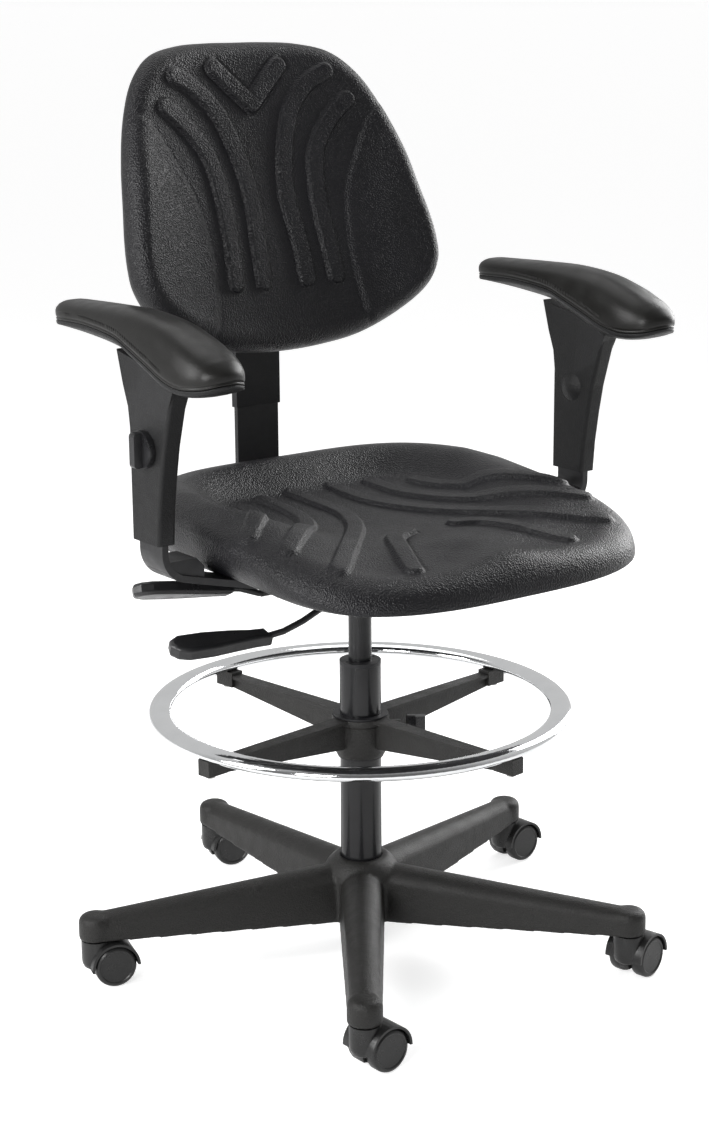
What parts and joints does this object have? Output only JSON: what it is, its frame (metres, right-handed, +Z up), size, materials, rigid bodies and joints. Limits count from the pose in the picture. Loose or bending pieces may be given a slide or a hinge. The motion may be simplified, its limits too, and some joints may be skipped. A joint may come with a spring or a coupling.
{
  "type": "drafting chair",
  "caption": "High drafting chair on a caster star base, with a chrome foot ring, a gas lift, a moulded seat and backrest, and adjustable T-arms.",
  "frame": {"origin": "on the floor, on the axis of the column", "axes": "+Z up, -Y towards the front of the seat, -X towards the right hand of a person sitting in it"},
  "size_m": [0.7079, 0.6605, 1.0878],
  "materials": {
    "nylon": "matte",
    "black_plastic": "satin",
    "steel_black": "satin",
    "gloss_steel": "gloss",
    "chrome": "polished",
    "zinc": "satin",
    "foam": "matte",
    "arm_soft": "satin",
    "wheel": "gloss"
  },
  "bodies": {
    "base": {"base_star": "nylon", "caster_sockets": "zinc", "column_tube": "gloss_steel", "column_bushing": "black_plastic", "thrust_bearing": "zinc"},
    "piston": {"piston_rod": "zinc"},
    "mechanism": {"gas_cylinder": "gloss_steel", "mechanism_housing": "steel_black", "seat_plate": "steel_black", "seat_bolts": "zinc", "seat_pan": "black_plastic", "seat_cushion": "foam", "arm_bar_left": "steel_black", "arm_bar_right": "steel_black", "back_pivot_pin": "zinc"},
    "release": {"release_pin": "zinc"},
    "lift_lever": {"lift_lever_rod": "steel_black", "lift_lever_paddle": "black_plastic"},
    "tilt_lever": {"tilt_lever_rod": "steel_black", "tilt_lever_paddle": "black_plastic"},
    "back_support": {"back_bar": "steel_black", "back_bar_cover": "black_plastic"},
    "backrest": {"back_slider": "black_plastic", "back_shell": "black_plastic", "backrest_cushion": "foam", "back_screws": "zinc"},
    "back_lock": {"back_knob": "black_plastic"},
    "foot_sleeve": {"foot_ring_liner": "zinc"},
    "foot_ring": {"foot_ring_spider": "nylon", "foot_ring_tube": "chrome", "foot_ring_screws": "zinc"},
    "foot_lock": {"foot_ring_knob": "black_plastic"},
    "arm_left": {"arm_post_left": "nylon", "arm_pad_base_left": "black_plastic", "arm_pad_left": "arm_soft"},
    "arm_lock_left": {"arm_knob_left": "black_plastic"},
    "arm_right": {"arm_post_right": "nylon", "arm_pad_base_right": "black_plastic", "arm_pad_right": "arm_soft"},
    "arm_lock_right": {"arm_knob_right": "black_plastic"},
    "caster_1": {"caster_stem_1": "zinc", "caster_hood_1": "nylon"},
    "wheels_1": {"caster_axle_1": "zinc", "caster_wheels_1": "wheel"},
    "caster_2": {"caster_stem_2": "zinc", "caster_hood_2": "nylon"},
    "wheels_2": {"caster_axle_2": "zinc", "caster_wheels_2": "wheel"},
    "caster_3": {"caster_stem_3": "zinc", "caster_hood_3": "nylon"},
    "wheels_3": {"caster_axle_3": "zinc", "caster_wheels_3": "wheel"},
    "caster_4": {"caster_stem_4": "zinc", "caster_hood_4": "nylon"},
    "wheels_4": {"caster_axle_4": "zinc", "caster_wheels_4": "wheel"},
    "caster_5": {"caster_stem_5": "zinc", "caster_hood_5": "nylon"},
    "wheels_5": {"caster_axle_5": "zinc", "caster_wheels_5": "wheel"}
  },
  "joints": [
    {"name": "seat_swivel", "type": "hinge", "parent": "base", "child": "piston", "pos_m": [0, 0, 0.06], "axis": [0, 0, 1], "continuous": true},
    {"name": "seat_lift", "type": "slide", "parent": "piston", "child": "mechanism", "axis": [0, 0, 1], "range_m": [-0.02, 0.2]},
    {"name": "release_press", "type": "slide", "parent": "mechanism", "child": "release", "axis": [0, 0, -1], "range_m": [0, 0.0035]},
    {"name": "lift_lever_turn", "type": "hinge", "parent": "mechanism", "child": "lift_lever", "pos_m": [-0.05, -0.025, 0.454], "axis": [0, 1, 0], "range_deg": [0, 4], "stiffness_Nm_per_rad": 5},
    {"name": "tilt_lever_turn", "type": "hinge", "parent": "mechanism", "child": "tilt_lever", "pos_m": [-0.1, 0.06, 0.454], "axis": [1, 0, 0], "range_deg": [-18, 18]},
    {"name": "back_recline", "type": "hinge", "parent": "mechanism", "child": "back_support", "pos_m": [0, 0.064, 0.47], "axis": [-1, 0, 0], "range_deg": [-3, 18]},
    {"name": "back_height", "type": "slide", "parent": "back_support", "child": "backrest", "axis": [0, 0.284, 0.9588], "range_m": [-0.035, 0.035]},
    {"name": "back_lock_turn", "type": "hinge", "parent": "backrest", "child": "back_lock", "pos_m": [0, 0.25352, 0.81121], "axis": [0, 0.9588, -0.284], "range_deg": [-180, 540]},
    {"name": "foot_ring_height", "type": "slide", "parent": "base", "child": "foot_sleeve", "axis": [0, 0, 1], "range_m": [-0.11, 0.055]},
    {"name": "foot_ring_turn", "type": "hinge", "parent": "foot_sleeve", "child": "foot_ring", "pos_m": [0, 0, 0.275], "axis": [0, 0, 1], "continuous": true},
    {"name": "foot_lock_turn", "type": "hinge", "parent": "foot_ring", "child": "foot_lock", "pos_m": [0.0498, -0.03347, 0.281], "axis": [0.83, -0.5577, 0], "range_deg": [-180, 540]},
    {"name": "arm_height_left", "type": "slide", "parent": "mechanism", "child": "arm_left", "axis": [0, 0, 1], "range_m": [-0.01, 0.075]},
    {"name": "arm_lock_turn_left", "type": "hinge", "parent": "arm_left", "child": "arm_lock_left", "pos_m": [0.318, -0.042, 0.671], "axis": [1, 0, 0], "range_deg": [-180, 360]},
    {"name": "arm_height_right", "type": "slide", "parent": "mechanism", "child": "arm_right", "axis": [0, 0, 1], "range_m": [-0.01, 0.075]},
    {"name": "arm_lock_turn_right", "type": "hinge", "parent": "arm_right", "child": "arm_lock_right", "pos_m": [-0.318, -0.042, 0.671], "axis": [-1, 0, 0], "range_deg": [-180, 360]},
    {"name": "caster_swivel_1", "type": "hinge", "parent": "base", "child": "caster_1", "pos_m": [-0.19731, -0.26763, 0.06], "axis": [0, 0, 1], "continuous": true},
    {"name": "wheel_spin_1", "type": "hinge", "parent": "caster_1", "child": "wheels_1", "pos_m": [-0.17934, -0.26665, 0.025], "axis": [-0.0541, 0.9985, 0], "continuous": true},
    {"name": "caster_swivel_2", "type": "hinge", "parent": "base", "child": "caster_2", "pos_m": [0.19356, -0.27036, 0.06], "axis": [0, 0, 1], "continuous": true},
    {"name": "wheel_spin_2", "type": "hinge", "parent": "caster_2", "child": "wheels_2", "pos_m": [0.21109, -0.26628, 0.025], "axis": [-0.2267, 0.974, 0], "continuous": true},
    {"name": "caster_swivel_3", "type": "hinge", "parent": "base", "child": "caster_3", "pos_m": [0.31694, 0.10054, 0.06], "axis": [0, 0, 1], "continuous": true},
    {"name": "wheel_spin_3", "type": "hinge", "parent": "caster_3", "child": "wheels_3", "pos_m": [0.33489, 0.10182, 0.025], "axis": [-0.0715, 0.9974, 0], "continuous": true},
    {"name": "caster_swivel_4", "type": "hinge", "parent": "base", "child": "caster_4", "pos_m": [0.00232, 0.33249, 0.06], "axis": [0, 0, 1], "continuous": true},
    {"name": "wheel_spin_4", "type": "hinge", "parent": "caster_4", "child": "wheels_4", "pos_m": [0.01987, 0.32847, 0.025], "axis": [0.2233, 0.9748, 0], "continuous": true},
    {"name": "caster_swivel_5", "type": "hinge", "parent": "base", "child": "caster_5", "pos_m": [-0.3155, 0.10495, 0.06], "axis": [0, 0, 1], "continuous": true},
    {"name": "wheel_spin_5", "type": "hinge", "parent": "caster_5", "child": "wheels_5", "pos_m": [-0.29819, 0.10002, 0.025], "axis": [0.274, 0.9617, 0], "continuous": true}
  ],
  "couplings": [
    {"joint": "release_press", "follows": "lift_lever_turn", "m_per_rad": 0.05}
  ]
}
